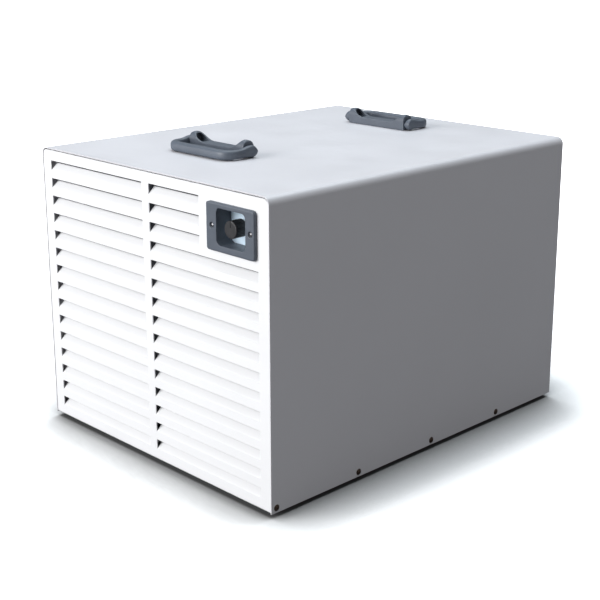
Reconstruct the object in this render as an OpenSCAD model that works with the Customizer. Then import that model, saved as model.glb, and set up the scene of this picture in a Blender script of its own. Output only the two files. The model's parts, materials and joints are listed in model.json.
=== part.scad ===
// Compact sheet-metal dehumidifier: louvred front, recessed humidity knob, two folding lid handles.
// Millimetres, +Z up, front faces -Y. Origin on the floor, in the middle of the whole part.

/* [Case] */
// Outside width of the steel case
case_w = 424; // [424:2:470]
// Depth of the steel case
case_d = 530; // [530:5:600]
// Height of the steel case above its feet
case_h = 360; // [360:1:366]
// Height of the rubber feet
foot_h = 6; // [4:1:14]
// Thickness of the case sheet
sheet = 1.2; // [0.8:0.1:1.4]
// Outside radius of the two long bends of the lid
lid_bend = 9; // [8:1:16]

/* [Louvres] */
// Number of louvre rows
louvre_rows = 15; // [8:1:15]
// Distance from one louvre row to the next
louvre_pitch = 22.7; // [20:0.1:22.7]
// Height of each louvre slit
slit_h = 12.3; // [9:0.1:13]
// How far a blade leans into the case
blade_reach = 9.4; // [6:0.2:10]
// Rows cut short beside the control
short_rows = 3; // [3:1:5]

/* [Controls] */
// Width of the control bezel
bezel_w = 79; // [77:1:84]
// Height of the control bezel
bezel_h = 55; // [52:1:56]
// How far the bezel stands proud of the front
bezel_proud = 4; // [2:0.5:6]
// Diameter of the humidity knob
knob_d = 20; // [14:0.5:22]

/* [Handles] */
// Distance of the front handle pivot from the front
handle_front_y = 136; // [120:1:180]
// Distance of the rear handle pivot from the back
handle_rear_inset = 103; // [80:1:180]
// Sideways place of both handles
handle_x = -22; // [-40:1:40]
// Outside width of a folding bail
bail_w = 120; // [116:1:150]
// Distance from the pivot to the outside of the grip
bail_reach = 42; // [38:1:48]
// Height of the handle ears above the lid
ear_h = 21; // [20:0.5:24]

/* [Air path] */
// Diameter of the fan over its blades
fan_d = 226; // [190:2:226]
// Number of fan blades
fan_blades = 5; // [3:1:6]
// Number of tubes in each coil row
coil_tubes = 12; // [6:2:12]
// Distance between neighbouring fins
fin_pitch = 8; // [6:1:16]

/* [Hidden] */
$fn = 48;

// Frame: the case is drawn with its front at y = 0 and its underside at z = 0
rear_proud = 22;
screw_head_h = 2;
front_y = -(case_d + rear_proud + bezel_proud) / 2 + bezel_proud;
eps = 0.01;

// Case and panels
panel_gap = 0.4;
panel_top_gap = 1.4;
panel_set_back = 0.6;
panel_w = case_w - 2 * sheet - 2 * panel_gap;
panel_top = case_h - sheet - panel_top_gap;
panel_bottom = 2;
panel_corner = lid_bend - sheet - panel_gap;
rim_depth = 12;
rim_from = 14;
pan_w = case_w - 2 * sheet;
pan_inset = 2.4;
pan_lip = 12;
pan_rib_y = [180, 236, 396, 440];
pan_rib_w = 300;
side_screw_z = 6;
side_screw_pitch = (case_d - 131) / 3;
first_side_screw = 8;

// Louvres
column_inner = 6.5;
column_outer = 194;
short_column_outer = 97;
first_slit_top = case_h - 15.5;
blade_rise = slit_h * 0.66;
blade_end_gap = 0.5;

// Controls
control_x = 155.2;
control_z = case_h - 43.8;
bezel_shift_x = -1.6;
bezel_shift_z = -1.2;
pocket_w = 47;
pocket_h = 41.6;
pocket_corner = 6;
pocket_wall = 1.6;
pocket_depth = 18;
bezel_corner = 5;
bezel_edge = 2;
bezel_screw_x = 31.3;
knob_back = 12;
shaft_r = 3;
fit_gap = 0.05;
bracket_half_w = 36;
bracket_half_h = 27;
humidistat_w = 38;
humidistat_d = 25;

// Handles
pivot_z = 8;
ear_half_y = 9;
base_half_x = bail_w / 2 - 9;
ear_flat = 7;
ear_slope = 22;
ear_corner = 3.5;
saddle_z = 10;
saddle_curve = (pow(ear_slope, 2) + pow(ear_h - saddle_z, 2)) / (2 * (ear_h - saddle_z));
pocket_tunnel_r = 6.6;
pocket_tunnel_end = 4;
pocket_tunnel_len = 19;
pocket_tunnel_z = ear_h - 8.8;
screw_seat_z = 4;
screw_seat_r = 5.2;
handle_screw_x = base_half_x - 16;
bail_half_h = 7.5;
bail_corner = 20;
bail_inner_corner = 11;
bail_edge = 4.5;
grip_top = 12.5;
grip_shoulder = 20;
arm_gap = 0.4;
grip_thick = 12.5;
arm_thick = bail_w / 2 - base_half_x - arm_gap;
pin_r = 2.5;
handle_screw_len = 12;

// Coils
filter_y = 50;
filter_t = 10;
evap_y = 64;
cond_y = 104;
coil_depth = 35;
coil_z = 38;
fin_half_x = 176;
fin_t = 0.5;
tube_r = 4.8;
tube_pitch = 25;
row_offset = 8.75;
tube_half_x = 184;
braze_gap = 0.02;
coil_top_tube = coil_z + tube_pitch / 2 + (coil_tubes - 1) * tube_pitch;
coil_h = coil_tubes * tube_pitch;
frame_x = 204;
frame_top = 346;
tray_z = 14;
tray_h = 18;

// Sealed system
comp_x = -95;
comp_y = 305;
comp_r = 60;
comp_foot_z = 14;
comp_h = 205;
comp_foot_r = 72;
comp_foot_t = 4;
comp_base_z = comp_foot_z + comp_foot_t + 0.05;
acc_x = -20;
acc_y = 262;
acc_r = 22;
acc_z = 60;
acc_h = 130;
drier_x = 150;
drier_y = 200;
drier_z = 235;
over_coil_z = 339;
side_run_x = 196;

// Air mover
fan_z = 190;
fan_y = case_d - 62;
shroud_y = case_d - 46;
ring_r = fan_d / 2 + 3;
guard_screw_r = fan_d / 2 + 13;
motor_y = fan_y - 73;
motor_len = 54;
motor_r = 44;
spindle_r = 4;
bracket_y = motor_y + 22;
bracket_leg_x = ring_r + 1.6;
bracket_leg_r = ring_r + 11;

// Electrics and drain
ebox_x = 130;
ebox_y = 305;
ebox_w = 140;
ebox_d = 110;
ebox_h = 148;
drain_x = -186;
drain_z = 22;
hose_start = 152;
loom_x = [80, 100, 153];
loom_back = 5;
loom_r = 2.8;
gland_x = 150;
gland_z = 60;
vent_x = 165;
vent_w = 44;
vent_pitch = 9;
vent_slot_h = 3.5;
hose_end = case_d - 12;

module case_frame() {
  translate([0, front_y, foot_h]) children();
}

// A 2D profile drawn in (x, z), pushed back along y from y0
module along_y(y0, len) {
  translate([0, y0 + len, 0]) rotate([90, 0, 0]) linear_extrude(height = len) children();
}

// A 2D profile drawn in (y, z), pushed along x from x0
module along_x(x0, len) {
  translate([x0, 0, 0]) rotate([90, 0, 90]) linear_extrude(height = len) children();
}

module rounded_rect(w, h, r) {
  square([w - 2 * r, h], center = true);
  square([w, h - 2 * r], center = true);
  for (sx = [-1, 1], sz = [-1, 1]) {
    translate([sx * (w / 2 - r), sz * (h / 2 - r)]) circle(r = r);
  }
}

// Flat-bottomed profile with two rounded top corners
module wrap_profile(w, h, r) {
  translate([-w / 2, 0]) square([w, h - r]);
  translate([-w / 2 + r, 0]) square([w - 2 * r, h]);
  for (s = [-1, 1]) {
    translate([s * (w / 2 - r), h - r]) circle(r = r);
  }
}

module cyl_x(x0, len, r) {
  translate([x0, 0, 0]) rotate([0, 90, 0]) cylinder(r = r, h = len);
}

module cyl_y(y0, len, r) {
  translate([0, y0, 0]) rotate([-90, 0, 0]) cylinder(r = r, h = len);
}

function step_dir(p, i) = (p[i + 1] - p[i]) / norm(p[i + 1] - p[i]);

// A round tube along a path of square corners, with true bends of radius bend
module pipe(p, r, bend) {
  last = len(p) - 2;
  for (i = [0 : last]) {
    u = step_dir(p, i);
    a = p[i] + (i > 0 ? bend : 0) * u;
    b = p[i + 1] - (i < last ? bend : 0) * u;
    side = abs(u[2]) > 0.5 ? [1, 0, 0] : [0, 0, 1];
    other = cross(u, side);
    multmatrix([
      [side[0], other[0], u[0], a[0]],
      [side[1], other[1], u[1], a[1]],
      [side[2], other[2], u[2], a[2]]
    ]) cylinder(r = r, h = norm(b - a));
  }
  for (i = [1 : 1 : last]) {
    u = step_dir(p, i - 1);
    v = step_dir(p, i);
    w = cross(u, v);
    c = p[i] - bend * u + bend * v;
    multmatrix([
      [-v[0], u[0], w[0], c[0]],
      [-v[1], u[1], w[1], c[1]],
      [-v[2], u[2], w[2], c[2]]
    ]) rotate_extrude(angle = 90) translate([bend, 0]) circle(r = r);
  }
}

// Pan-head screw pointing down -z with its head above z = 0
module pan_screw(head_r, head_h, shank_r, len) {
  difference() {
    cylinder(r = head_r, h = head_h);
    translate([0, 0, head_h * 0.45]) cylinder(r = head_r * 0.42, h = head_h, $fn = 6);
  }
  translate([0, 0, -len]) cylinder(r = shank_r, h = len + eps);
}

// ---- case ----

module base_pan() {
  color([0.72, 0.73, 0.74]) case_frame() difference() {
    union() {
      translate([-pan_w / 2, pan_inset, 0]) cube([pan_w, case_d - 2 * pan_inset, sheet]);
      for (s = [0, 1]) {
        translate([s * (pan_w - sheet) - pan_w / 2, pan_inset, 0])
          cube([sheet, case_d - 2 * pan_inset, pan_lip]);
        translate([-pan_w / 2, pan_inset + s * (case_d - 2 * pan_inset - sheet), 0])
          cube([pan_w, sheet, pan_lip]);
      }
      for (y = pan_rib_y) {
        translate([-pan_rib_w / 2, y, sheet - eps]) cube([pan_rib_w, 12, 1.5]);
      }
    }
    foot_places() translate([0, 0, -1]) cylinder(r = 2.6, h = 12);
    compressor_feet() translate([0, 0, -1]) cylinder(r = 3.1, h = 12);
    for (s = [-1, 1], i = [0 : 3]) {
      translate([s * pan_w / 2, first_side_screw + i * side_screw_pitch, side_screw_z])
        cyl_x(-10, 20, 2.1);
    }
  }
}

module outer_cover() {
  color([0.93, 0.94, 0.95]) case_frame() difference() {
    along_y(0, case_d) difference() {
      wrap_profile(case_w, case_h, lid_bend);
      translate([0, -1])
        wrap_profile(case_w - 2 * sheet, case_h - sheet + 1, lid_bend - sheet);
    }
    for (s = [-1, 1], i = [0 : 3]) {
      translate([s * case_w / 2, first_side_screw + i * side_screw_pitch, side_screw_z])
        cyl_x(-10, 20, 2.1);
    }
    for (y = [handle_front_y, case_d - handle_rear_inset], s = [-1, 1]) {
      translate([handle_x + s * handle_screw_x, y, case_h - 5]) cylinder(r = 2.6, h = 10);
    }
  }
}

module panel_plate(y0) {
  along_y(y0, sheet) intersection() {
    wrap_profile(panel_w, panel_top, panel_corner);
    translate([-case_w / 2, panel_bottom]) square([case_w, case_h]);
  }
}

module panel_rim(y0) {
  along_y(y0, rim_depth) intersection() {
    difference() {
      wrap_profile(panel_w, panel_top, panel_corner);
      wrap_profile(panel_w - 2 * sheet, panel_top - sheet, panel_corner - sheet);
    }
    translate([-case_w / 2, rim_from]) square([case_w, case_h]);
  }
}

module louvre(row, side, outer) {
  z = first_slit_top - row * louvre_pitch - slit_h;
  x0 = side > 0 ? column_inner : -outer;
  translate([x0, 0, z]) children();
}

module louvre_layout() {
  for (row = [0 : louvre_rows - 1], side = [-1, 1]) {
    outer = (side > 0 && row < short_rows) ? short_column_outer : column_outer;
    louvre(row, side, outer) {
      if ($cutting) {
        translate([0, -1, 0]) cube([outer - column_inner, sheet + 4, slit_h]);
      } else {
        along_x(blade_end_gap, outer - column_inner - 2 * blade_end_gap) polygon([
          [panel_set_back, -1.2],
          [panel_set_back, 0],
          [panel_set_back + blade_reach - 0.8, blade_rise],
          [panel_set_back + blade_reach, blade_rise - 0.9],
          [panel_set_back + sheet, -1.2]
        ]);
      }
    }
  }
}

module front_panel() {
  color([0.96, 0.96, 0.97]) case_frame() {
    difference() {
      union() {
        panel_plate(panel_set_back);
        panel_rim(panel_set_back);
      }
      louvre_layout($cutting = true);
      translate([control_x, 0, control_z]) {
        along_y(-1, 6) rounded_rect(pocket_w + 2 * pocket_wall + 1, pocket_h + 2 * pocket_wall + 1,
          pocket_corner + pocket_wall);
        for (s = [-1, 1]) {
          translate([s * bezel_screw_x, 0, 0]) cyl_y(-1, 6, 1.7);
        }
      }
    }
    louvre_layout($cutting = false);
  }
}

module rear_panel() {
  rear_y = case_d - panel_set_back - sheet;
  color([0.93, 0.94, 0.95]) case_frame() difference() {
    union() {
      panel_plate(rear_y);
      panel_rim(rear_y + sheet - rim_depth);
    }
    translate([0, 0, fan_z]) cyl_y(rear_y - 1, 4, fan_d / 2 + 4);
    translate([drain_x, 0, drain_z]) cyl_y(rear_y - 1, 4, 8.2);
    translate([gland_x, 0, gland_z]) cyl_y(rear_y - 1, 4, 8.2);
    for (i = [0 : 7], s = [-1, 1]) {
      translate([s * vent_x - vent_w / 2, rear_y - 1, case_h - 40 - i * vent_pitch])
        cube([vent_w, 4, vent_slot_h]);
    }
    guard_screw_places() cyl_y(rear_y - 1, 4, 2.1);
    corner_screw_places() cyl_y(rear_y - 1, 4, 2.1);
  }
}

module guard_screw_places() {
  for (a = [45 : 90 : 315]) {
    translate([guard_screw_r * cos(a), 0, fan_z + guard_screw_r * sin(a)]) children();
  }
}

module corner_screw_places() {
  for (sx = [-1, 1], z = [48, case_h - 14]) {
    translate([sx * 198, 0, z]) children();
  }
}

module finger_guard() {
  wire_r = 1.4;
  face_y = case_d - panel_set_back;
  outer_r = fan_d / 2 + 8;
  rings = 7;
  spoke_t = 2.2;
  color([0.16, 0.17, 0.18]) case_frame() translate([0, 0, fan_z]) {
    for (i = [1 : rings]) {
      translate([0, face_y + spoke_t + wire_r - 0.7, 0]) rotate([90, 0, 0]) rotate_extrude()
        translate([outer_r * i / rings - wire_r, 0]) circle(r = wire_r, $fn = 24);
    }
    for (a = [22.5 : 45 : 337.5]) {
      rotate([0, -a, 0]) translate([8, face_y, -1.5]) cube([outer_r - 8.4, spoke_t, 3]);
    }
    cyl_y(face_y, spoke_t + 1, 12);
    for (a = [45 : 90 : 315]) {
      rotate([0, -a, 0]) translate([guard_screw_r, 0, 0]) difference() {
        cyl_y(face_y, 2, 7);
        cyl_y(face_y - 1, 4, 2.1);
      }
    }
  }
}

module foot_places() {
  for (sx = [-1, 1], y = [42, case_d - 42]) {
    translate([sx * (case_w / 2 - 42), y, 0]) children();
  }
}

module feet() {
  color([0.1, 0.1, 0.11]) case_frame() foot_places() difference() {
    translate([0, 0, -foot_h]) {
      cylinder(r1 = 11, r2 = 13, h = foot_h);
    }
    translate([0, 0, -foot_h - 1]) cylinder(r = 5.2, h = foot_h - 0.8);
    translate([0, 0, -foot_h - 1]) cylinder(r = 2.6, h = foot_h + 2);
  }
}

module foot_screws() {
  color([0.6, 0.6, 0.62]) case_frame() foot_places() {
    translate([0, 0, -1.8]) mirror([0, 0, 1]) pan_screw(4.6, 1.6, 2.4, 8);
    translate([0, 0, sheet]) difference() {
      cylinder(r = 4.6, h = 4, $fn = 6);
      translate([0, 0, -1]) cylinder(r = 2.4, h = 6);
    }
  }
}

module cover_screws() {
  color([0.12, 0.1, 0.09]) case_frame() for (s = [-1, 1], i = [0 : 3]) {
    translate([s * case_w / 2, first_side_screw + i * side_screw_pitch, side_screw_z])
      rotate([0, s * 90, 0]) domed_screw(4, screw_head_h, 1.9, 6);
  }
}

module rear_screws() {
  face_y = case_d - panel_set_back;
  color([0.5, 0.5, 0.52]) case_frame() {
    guard_screw_places() translate([0, face_y + 2, 0]) rotate([-90, 0, 0])
      pan_screw(3.6, 2, 1.9, 9);
    corner_screw_places() translate([0, face_y, 0]) rotate([-90, 0, 0])
      pan_screw(3.6, 2, 1.9, 9);
  }
}

// Dome-headed screw pointing down -z
module domed_screw(head_r, head_h, shank_r, len) {
  dome_r = (head_r * head_r + head_h * head_h) / (2 * head_h);
  difference() {
    intersection() {
      translate([0, 0, head_h - dome_r]) sphere(r = dome_r);
      cylinder(r = head_r, h = head_h + 1);
    }
    translate([0, 0, head_h * 0.45]) cylinder(r = head_r * 0.37, h = 3, $fn = 6);
  }
  translate([0, 0, -len]) cylinder(r = shank_r, h = len + eps);
}

// ---- controls ----

module control_bezel() {
  back = bezel_proud + panel_set_back;
  color([0.2, 0.21, 0.23]) case_frame() translate([control_x, 0, control_z]) difference() {
    union() {
      translate([bezel_shift_x, 0, bezel_shift_z]) intersection() {
        along_y(-bezel_proud, back) rounded_rect(bezel_w, bezel_h, bezel_corner);
        along_x(-bezel_w / 2, bezel_w) front_rounded(bezel_h, back + 4, bezel_edge);
        rotate([0, 90, 0])
          along_x(-bezel_h / 2, bezel_h) front_rounded(bezel_w, back + 4, bezel_edge);
      }
      along_y(-0.5, pocket_depth + 0.5)
        rounded_rect(pocket_w + 2 * pocket_wall, pocket_h + 2 * pocket_wall,
          pocket_corner + pocket_wall);
    }
    along_y(-bezel_proud - 1, pocket_depth + bezel_proud + 2)
      rounded_rect(pocket_w, pocket_h, pocket_corner);
    for (s = [-1, 1]) {
      translate([s * bezel_screw_x, 0, 0]) {
        cyl_y(-bezel_proud - 1, 2.8, 3.4);
        cyl_y(-bezel_proud - 1, back + 2, 1.7);
      }
    }
  }
}

// Profile in (y, z), square at the back and rounded along its two front edges
module front_rounded(h, depth, r) {
  translate([-bezel_proud + r, -h / 2]) square([depth - r, h]);
  translate([-bezel_proud, -h / 2 + r]) square([depth, h - 2 * r]);
  for (s = [-1, 1]) {
    translate([-bezel_proud + r, s * (h / 2 - r)]) circle(r = r);
  }
}

module bezel_screws() {
  color([0.75, 0.75, 0.77]) case_frame() for (s = [-1, 1]) {
    translate([control_x + s * bezel_screw_x, -bezel_proud + 1.8, control_z])
      rotate([90, 0, 0]) domed_screw(2.9, 1.5, 1.6, 9);
  }
}

module control_bracket() {
  leg_y = panel_set_back + sheet;
  color([0.82, 0.83, 0.83]) case_frame() translate([control_x, 0, control_z]) difference() {
    union() {
      translate([-bracket_half_w, pocket_depth, -bracket_half_h])
        cube([2 * bracket_half_w, 1.2, 2 * bracket_half_h]);
      for (s = [0, 1]) {
        translate([-bracket_half_w + s * (2 * bracket_half_w - 1.2), leg_y, -bracket_half_h])
          cube([1.2, pocket_depth - leg_y + 1.2, 2 * bracket_half_h]);
        translate([-bracket_half_w - 9 + s * (2 * bracket_half_w + 9), leg_y, -bracket_half_h])
          cube([9, 1.2, 2 * bracket_half_h]);
      }
    }
    cyl_y(pocket_depth - 1, 4, 5.1);
  }
}

module humidistat() {
  y0 = pocket_depth + 1.2;
  color([0.88, 0.86, 0.8]) case_frame() translate([control_x, 0, control_z]) difference() {
    union() {
      translate([-humidistat_w / 2, y0, -humidistat_w / 2])
        cube([humidistat_w, humidistat_d, humidistat_w]);
      cyl_y(y0 - 6, 6 + eps, 5);
      for (s = [-1, 1]) {
        translate([s * 10 - 3, y0 + humidistat_d - eps, -12]) cube([6, 7, 0.8]);
      }
    }
    cyl_y(y0 - 7, 20, shaft_r + fit_gap);
  }
}

module humidistat_nut() {
  color([0.75, 0.75, 0.7]) case_frame() translate([control_x, 0, control_z]) difference() {
    translate([0, pocket_depth, 0]) rotate([90, 0, 0]) cylinder(r = 7.5, h = 3, $fn = 6);
    cyl_y(pocket_depth - 5, 8, 5.02);
  }
}

module humidistat_shaft() {
  color([0.7, 0.7, 0.68]) case_frame() translate([control_x, 0, control_z])
    cyl_y(-bezel_proud + 3, pocket_depth + bezel_proud + 8, shaft_r);
}

module control_knob() {
  knob_r = knob_d / 2;
  edge = 1;
  len = knob_back + bezel_proud;
  color([0.07, 0.07, 0.08]) case_frame() translate([control_x, 0, control_z]) difference() {
    translate([0, -bezel_proud, 0]) rotate([-90, 0, 0]) {
      rotate_extrude() {
        translate([0, edge]) square([knob_r, len - edge]);
        square([knob_r - edge, len]);
        translate([knob_r - edge, edge]) circle(r = edge);
      }
    }
    cyl_y(-bezel_proud + 3, len, shaft_r);
    translate([-0.5, -bezel_proud - 1, 2]) cube([1, 1.6, knob_r]);
    for (i = [0 : 17]) {
      rotate([0, i * 20, 0]) translate([knob_r + 0.5, 0, 0]) cyl_y(-bezel_proud + 2, len, 0.9);
    }
  }
}

// ---- folding handles, drawn about their own pivot line: lid at z = 0, bail folded to -y ----

module handle_base() {
  difference() {
    intersection() {
      along_x(-base_half_x, 2 * base_half_x) {
        translate([-ear_half_y, 0]) square([2 * ear_half_y, ear_h - ear_half_y]);
        translate([0, ear_h - ear_half_y]) circle(r = ear_half_y);
      }
      along_y(-ear_half_y - 1, 2 * ear_half_y + 2) difference() {
        wrap_profile(2 * base_half_x, ear_h, ear_corner);
        saddle_cut(base_half_x - ear_flat - ear_slope);
      }
    }
    for (s = [-1, 1]) {
      mirror([s > 0 ? 0 : 1, 0, 0]) {
        translate([0, 0, pocket_tunnel_z])
          cyl_x(base_half_x - pocket_tunnel_end - pocket_tunnel_len, pocket_tunnel_len, pocket_tunnel_r);
        translate([0, 0, pivot_z]) cyl_x(base_half_x - 6, 7, pin_r);
        translate([handle_screw_x, 0, 0]) {
          translate([0, 0, screw_seat_z]) cylinder(r = screw_seat_r, h = ear_h);
          translate([0, 0, -1]) cylinder(r = 2.6, h = ear_h);
        }
      }
    }
  }
}

// What is cut away above the saddle: flat in the middle, sweeping up to the ears
module saddle_cut(flat_half) {
  translate([-flat_half, saddle_z]) square([2 * flat_half, ear_h]);
  for (s = [-1, 1]) {
    translate([s * flat_half, saddle_z + saddle_curve]) circle(r = saddle_curve);
  }
}

// Seen from above: a U with rounded corners, open towards +y
module bail_plan(half_w, reach, corner, back) {
  translate([-half_w, -reach + corner]) square([2 * half_w, reach - corner + back]);
  translate([-half_w + corner, -reach]) square([2 * (half_w - corner), reach]);
  for (s = [-1, 1]) {
    translate([s * (half_w - corner), -reach + corner]) circle(r = corner);
  }
}

// Seen from the side: a round boss on the pivot, sloping down to the lower grip
module bail_side() {
  low = pivot_z - bail_half_h;
  front = -bail_reach + bail_edge;
  translate([0, pivot_z]) circle(r = bail_half_h);
  polygon([
    [front, low], [0, low], [0, pivot_z + bail_half_h], [-grip_shoulder, grip_top], [front, grip_top]
  ]);
  translate([-bail_reach, low + bail_edge])
    square([bail_edge + 1, grip_top - low - 2 * bail_edge]);
  for (z = [low + bail_edge, grip_top - bail_edge]) {
    translate([front, z]) circle(r = bail_edge);
  }
}

module handle_bail() {
  inner_x = base_half_x + arm_gap;
  difference() {
    intersection() {
      linear_extrude(height = pivot_z + bail_half_h + 1) difference() {
        bail_plan(bail_w / 2, bail_reach, bail_corner, bail_half_h);
        bail_plan(inner_x, bail_reach - grip_thick, bail_inner_corner, bail_half_h + 1);
      }
      along_x(-bail_w / 2, bail_w) bail_side();
    }
    translate([-bail_w, -bail_reach * 0.62, -1]) cube([2 * bail_w, bail_reach * 0.5, 2.6]);
    for (s = [-1, 1]) {
      translate([0, 0, pivot_z])
        cyl_x(s > 0 ? inner_x - 1 : -inner_x - arm_thick + 1.6, arm_thick - 0.6, pin_r + fit_gap);
    }
  }
}

module handle_pins() {
  for (s = [-1, 1]) {
    translate([0, 0, pivot_z])
      cyl_x(s > 0 ? base_half_x - 5.5 : -base_half_x - arm_gap - arm_thick + 2, arm_thick + 3.9, pin_r);
  }
}

module handle_screws() {
  for (s = [-1, 1]) {
    translate([s * handle_screw_x, 0, screw_seat_z]) pan_screw(4.4, 2.6, 2.4, handle_screw_len);
    translate([s * handle_screw_x, 0, -sheet - 4]) difference() {
      cylinder(r = 4.6, h = 4, $fn = 6);
      translate([0, 0, -1]) cylinder(r = 2.4, h = 6);
    }
  }
}

module at_front_handle() {
  case_frame() translate([handle_x, handle_front_y, case_h]) children();
}

module at_rear_handle() {
  case_frame() translate([handle_x, case_d - handle_rear_inset, case_h]) rotate([0, 0, 180])
    children();
}

module front_handle_base() {
  color([0.22, 0.23, 0.25]) at_front_handle() handle_base();
}

module front_handle_bail() {
  color([0.22, 0.23, 0.25]) at_front_handle() handle_bail();
}

module front_handle_pins() {
  color([0.6, 0.6, 0.62]) at_front_handle() handle_pins();
}

module front_handle_screws() {
  color([0.75, 0.75, 0.77]) at_front_handle() handle_screws();
}

module rear_handle_base() {
  color([0.22, 0.23, 0.25]) at_rear_handle() handle_base();
}

module rear_handle_bail() {
  color([0.22, 0.23, 0.25]) at_rear_handle() handle_bail();
}

module rear_handle_pins() {
  color([0.6, 0.6, 0.62]) at_rear_handle() handle_pins();
}

module rear_handle_screws() {
  color([0.75, 0.75, 0.77]) at_rear_handle() handle_screws();
}

// ---- air path ----

module filter_frame() {
  bar = 12;
  w = 400;
  h = 330;
  color([0.2, 0.2, 0.21]) case_frame() translate([0, filter_y, 14]) {
    along_y(0, filter_t) difference() {
      translate([-w / 2, 0]) square([w, h]);
      translate([-w / 2 + bar, bar]) square([w - 2 * bar, h - 2 * bar]);
    }
    for (x = [-w / 6, w / 6]) {
      translate([x - 1.5, 0, bar - eps]) cube([3, 2, h - 2 * bar + 2 * eps]);
    }
    for (z = [h / 3, 2 * h / 3]) {
      translate([-w / 2 + bar - eps, 0, z - 1.5]) cube([w - 2 * bar + 2 * eps, 2, 3]);
    }
  }
}

module filter_foam() {
  color([0.3, 0.31, 0.33]) case_frame()
    translate([-187.8, filter_y + 2.2, 26.2]) cube([375.6, filter_t - 3, 305.6]);
}

module coil_frame() {
  y0 = 48;
  d = 96;
  color([0.75, 0.76, 0.77]) case_frame() {
    for (s = [-1, 1]) {
      translate([s * (frame_x + 0.6) - 0.6, y0, sheet]) cube([1.2, d, frame_top - sheet]);
    }
    translate([-frame_x - 1.2, y0, frame_top]) cube([2 * frame_x + 2.4, d, 1.2]);
    for (s = [-1, 1]) {
      translate([s * 177.6 - 0.6, evap_y - 2, coil_z]) difference() {
        cube([1.2, cond_y + coil_depth - evap_y + 4, frame_top - coil_z]);
        coil_holes(tube_r + 0.1);
      }
    }
  }
}

// Holes along x for both coils, in the frame of a coil end plate
module coil_holes(r) {
  for (y = [evap_y, cond_y], k = [0, 1], i = [0 : coil_tubes - 1]) {
    translate([0, y - evap_y + 2 + row_offset + k * 2 * row_offset, tube_pitch / 2 + i * tube_pitch])
      cyl_x(-1, 4, r);
  }
}

module coil_fins(y0) {
  count = floor(2 * fin_half_x / fin_pitch);
  color([0.8, 0.81, 0.82]) case_frame() for (i = [0 : count]) {
    along_x(-count * fin_pitch / 2 + i * fin_pitch - fin_t / 2, fin_t) difference() {
      translate([y0, coil_z]) square([coil_depth, coil_h]);
      for (k = [0, 1], j = [0 : coil_tubes - 1]) {
        translate([y0 + row_offset + k * 2 * row_offset, coil_z + tube_pitch / 2 + j * tube_pitch])
          circle(r = tube_r + 0.05);
      }
    }
  }
}

module half_bend(r_bend, r) {
  rotate_extrude(angle = 180) translate([r_bend, 0]) circle(r = r);
}

// Serpentine tubes; first says on which side the first pair of tubes is joined
module coil_tube_set(y0, first) {
  color([0.72, 0.42, 0.27]) case_frame() {
    for (k = [0, 1], i = [0 : coil_tubes - 1]) {
      y = y0 + row_offset + k * 2 * row_offset;
      z = coil_z + tube_pitch / 2 + i * tube_pitch;
      side = first * (i % 2 == 0 ? 1 : -1);
      translate([0, y, z]) cyl_x(-tube_half_x, 2 * tube_half_x, tube_r);
      if (i < coil_tubes - 1) {
        translate([side * (tube_half_x + braze_gap), y, z + tube_pitch / 2])
          rotate([90, side * 90, 0]) half_bend(tube_pitch / 2, tube_r);
      }
    }
    translate([-first * (tube_half_x + braze_gap), y0 + 2 * row_offset, coil_z + tube_pitch / 2])
      rotate([0, 0, first * 90]) half_bend(row_offset, tube_r);
  }
}

module evaporator_fins() {
  coil_fins(evap_y);
}

module condenser_fins() {
  coil_fins(cond_y);
}

module evaporator_tubes() {
  coil_tube_set(evap_y, 1);
}

module condenser_tubes() {
  coil_tube_set(cond_y, -1);
}

module drip_tray() {
  w = 398;
  d = 80;
  wall = 1.6;
  color([0.15, 0.16, 0.17]) case_frame() translate([0, evap_y - 2, 0]) difference() {
    union() {
      translate([-w / 2, 0, tray_z]) cube([w, d, tray_h]);
      translate([drain_x, d - eps, drain_z]) cyl_y(0, 14, 6);
      for (x = [-150, 150], y = [8, d - 20]) {
        translate([x, y, sheet]) cube([12, 12, tray_z - sheet + eps]);
      }
    }
    translate([-w / 2 + wall, wall, tray_z + wall]) cube([w - 2 * wall, d - 2 * wall, tray_h]);
    translate([drain_x, d - 5, drain_z]) cyl_y(0, 30, 4.6);
  }
}

// ---- sealed system ----

module compressor_feet() {
  for (a = [90 : 120 : 330]) {
    translate([comp_x + comp_foot_r * cos(a), comp_y + comp_foot_r * sin(a), 0]) children();
  }
}

module shell_profile(r, h, dome) {
  intersection() {
    union() {
      translate([0, dome]) square([r, h - 2 * dome]);
      translate([0, dome]) square([r - dome, h - dome]);
      square([r - dome, h]);
      for (z = [dome, h - dome]) {
        translate([r - dome, z]) circle(r = dome);
      }
    }
    square([r + 1, h]);
  }
}

module compressor_shell() {
  wall = 3;
  color([0.09, 0.09, 0.1]) case_frame() {
    translate([comp_x, comp_y, comp_base_z]) rotate_extrude() difference() {
      shell_profile(comp_r, comp_h, 22);
      translate([0, wall]) shell_profile(comp_r - wall, comp_h - 2 * wall, 19);
      translate([-1, comp_h - 6]) square([7.1, 10]);
    }
    difference() {
      translate([comp_x, comp_y, comp_foot_z]) cylinder(r = comp_foot_r + 10, h = comp_foot_t);
      compressor_feet() translate([0, 0, comp_foot_z - 1]) cylinder(r = 8.1, h = comp_foot_t + 2);
    }
  }
}

module compressor_motor() {
  color([0.62, 0.36, 0.2]) case_frame() translate([comp_x, comp_y, comp_foot_z + 110]) difference() {
    cylinder(r = comp_r - 3.4, h = 70);
    translate([0, 0, -1]) cylinder(r = 6, h = 80);
  }
}

module compressor_pump() {
  color([0.45, 0.45, 0.46]) case_frame() translate([comp_x, comp_y, comp_foot_z]) {
    translate([0, 0, 40]) cylinder(r = comp_r - 3.4, h = 50);
    translate([0, 0, 80]) cylinder(r = 5.8, h = 112);
  }
}

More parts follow.
